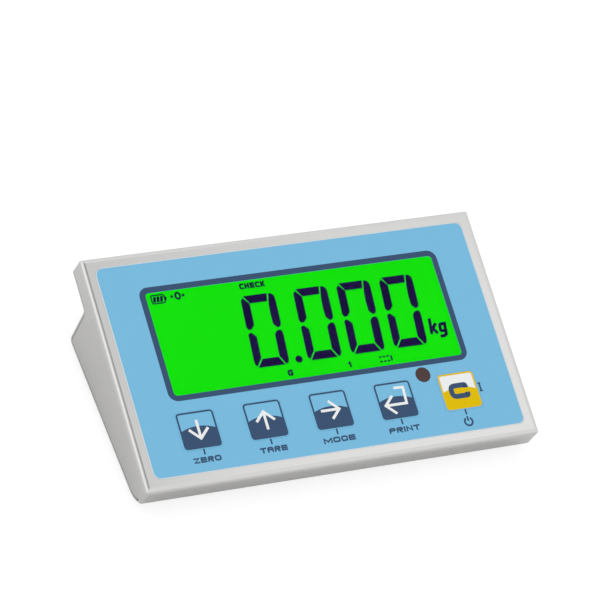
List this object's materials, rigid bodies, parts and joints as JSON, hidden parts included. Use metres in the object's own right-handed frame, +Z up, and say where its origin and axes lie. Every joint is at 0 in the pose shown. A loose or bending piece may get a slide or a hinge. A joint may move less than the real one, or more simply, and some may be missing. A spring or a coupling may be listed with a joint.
{
  "type": "weighing indicator",
  "caption": "Desk weighing indicator: folded stainless wedge with a large lit display, membrane keys, cable entries and rubber feet.",
  "frame": {"origin": "on the surface that the feet stand on, under the middle of the housing's box", "axes": "+Z up, +X to the viewer's right along the panel's width, +Y from the keys towards the rear wall; the panel slopes up to the back"},
  "size_m": [0.218, 0.126, 0.047],
  "materials": {
    "shell_steel": "satin stainless",
    "cover_steel": "satin stainless",
    "screw_steel": "plain stainless",
    "frame_steel": "bright tinned",
    "seal_rubber": "matt silicone",
    "foot_rubber": "matt",
    "overlay_print": "fine matt polyester",
    "key_print_blue": "fine matt polyester",
    "key_print_yellow": "fine matt polyester",
    "clear_window": "clear gloss",
    "ir_plastic": "dark red-brown, smooth",
    "keypad_film": "clear matt film",
    "silver_contact": "printed silver",
    "amber_film": "amber polyimide",
    "connector_plastic": "ivory nylon",
    "display_glass": "clear glass",
    "segment_ink": "dark liquid crystal",
    "display_green": "lit green film",
    "light_guide": "frosted acrylic",
    "lamp_plastic": "lamp body",
    "board_laminate": "green solder mask",
    "chip_plastic": "matt epoxy",
    "ribbon_plastic": "grey ribbon",
    "terminal_plastic": "green nylon",
    "capacitor_can": "sleeved can",
    "cell_sleeve": "shrink sleeve",
    "lead_plastic": "red lead",
    "entry_nickel": "satin nickel",
    "brass_parts": "plain brass"
  },
  "bodies": {
    "housing": {"front_shell": "shell_steel", "rear_cover": "cover_steel", "cover_gasket": "seal_rubber", "cover_screws": "screw_steel", "press_nuts": "screw_steel", "rubber_feet": "foot_rubber", "bracket_inserts": "screw_steel", "overlay": "overlay_print", "display_window": "clear_window", "ir_window": "ir_plastic", "keypad_spacer": "keypad_film", "keypad_circuit": "keypad_film", "switch_contacts": "silver_contact", "keypad_tail": "amber_film", "tail_connector": "connector_plastic", "display_gasket": "seal_rubber", "front_glass": "display_glass", "display_segments": "segment_ink", "rear_glass": "display_glass", "reflector_film": "display_green", "backlight_guide": "light_guide", "backlight_lamps": "lamp_plastic", "display_frame": "frame_steel", "contact_strip": "seal_rubber", "display_board": "board_laminate", "display_standoffs": "screw_steel", "display_nuts": "brass_parts", "display_driver": "chip_plastic", "ir_receiver": "chip_plastic", "display_header": "connector_plastic", "ribbon_cable": "ribbon_plastic", "main_header": "connector_plastic", "main_board": "board_laminate", "main_standoffs": "screw_steel", "inner_screws": "screw_steel", "processor": "chip_plastic", "converter_shield": "frame_steel", "terminal_blocks": "terminal_plastic", "capacitors": "capacitor_can", "buzzer": "chip_plastic", "battery_cells": "cell_sleeve", "battery_pad": "seal_rubber", "battery_bracket": "frame_steel", "bracket_standoffs": "screw_steel", "battery_lead": "lead_plastic", "gland_bodies": "entry_nickel", "gland_seals": "seal_rubber", "gland_caps": "entry_nickel", "entry_washers": "seal_rubber", "entry_locknuts": "entry_nickel", "blanking_plug": "entry_nickel", "earth_stud": "brass_parts", "earth_washer": "brass_parts", "earth_nut": "brass_parts"},
    "zero_key": {"key_zero": "key_print_blue"},
    "tare_key": {"key_tare": "key_print_blue"},
    "mode_key": {"key_mode": "key_print_blue"},
    "print_key": {"key_print": "key_print_blue"},
    "clear_key": {"key_clear": "key_print_yellow"}
  },
  "joints": [
    {"name": "zero_press", "type": "slide", "parent": "housing", "child": "zero_key", "axis": [0, 0.2215, -0.9751], "range_m": [0, 0.0004], "stiffness_N_per_m": 2500},
    {"name": "tare_press", "type": "slide", "parent": "housing", "child": "tare_key", "axis": [0, 0.2215, -0.9751], "range_m": [0, 0.0004], "stiffness_N_per_m": 2500},
    {"name": "mode_press", "type": "slide", "parent": "housing", "child": "mode_key", "axis": [0, 0.2215, -0.9751], "range_m": [0, 0.0004], "stiffness_N_per_m": 2500},
    {"name": "print_press", "type": "slide", "parent": "housing", "child": "print_key", "axis": [0, 0.2215, -0.9751], "range_m": [0, 0.0004], "stiffness_N_per_m": 2500},
    {"name": "clear_press", "type": "slide", "parent": "housing", "child": "clear_key", "axis": [0, 0.2215, -0.9751], "range_m": [0, 0.0004], "stiffness_N_per_m": 2500}
  ]
}
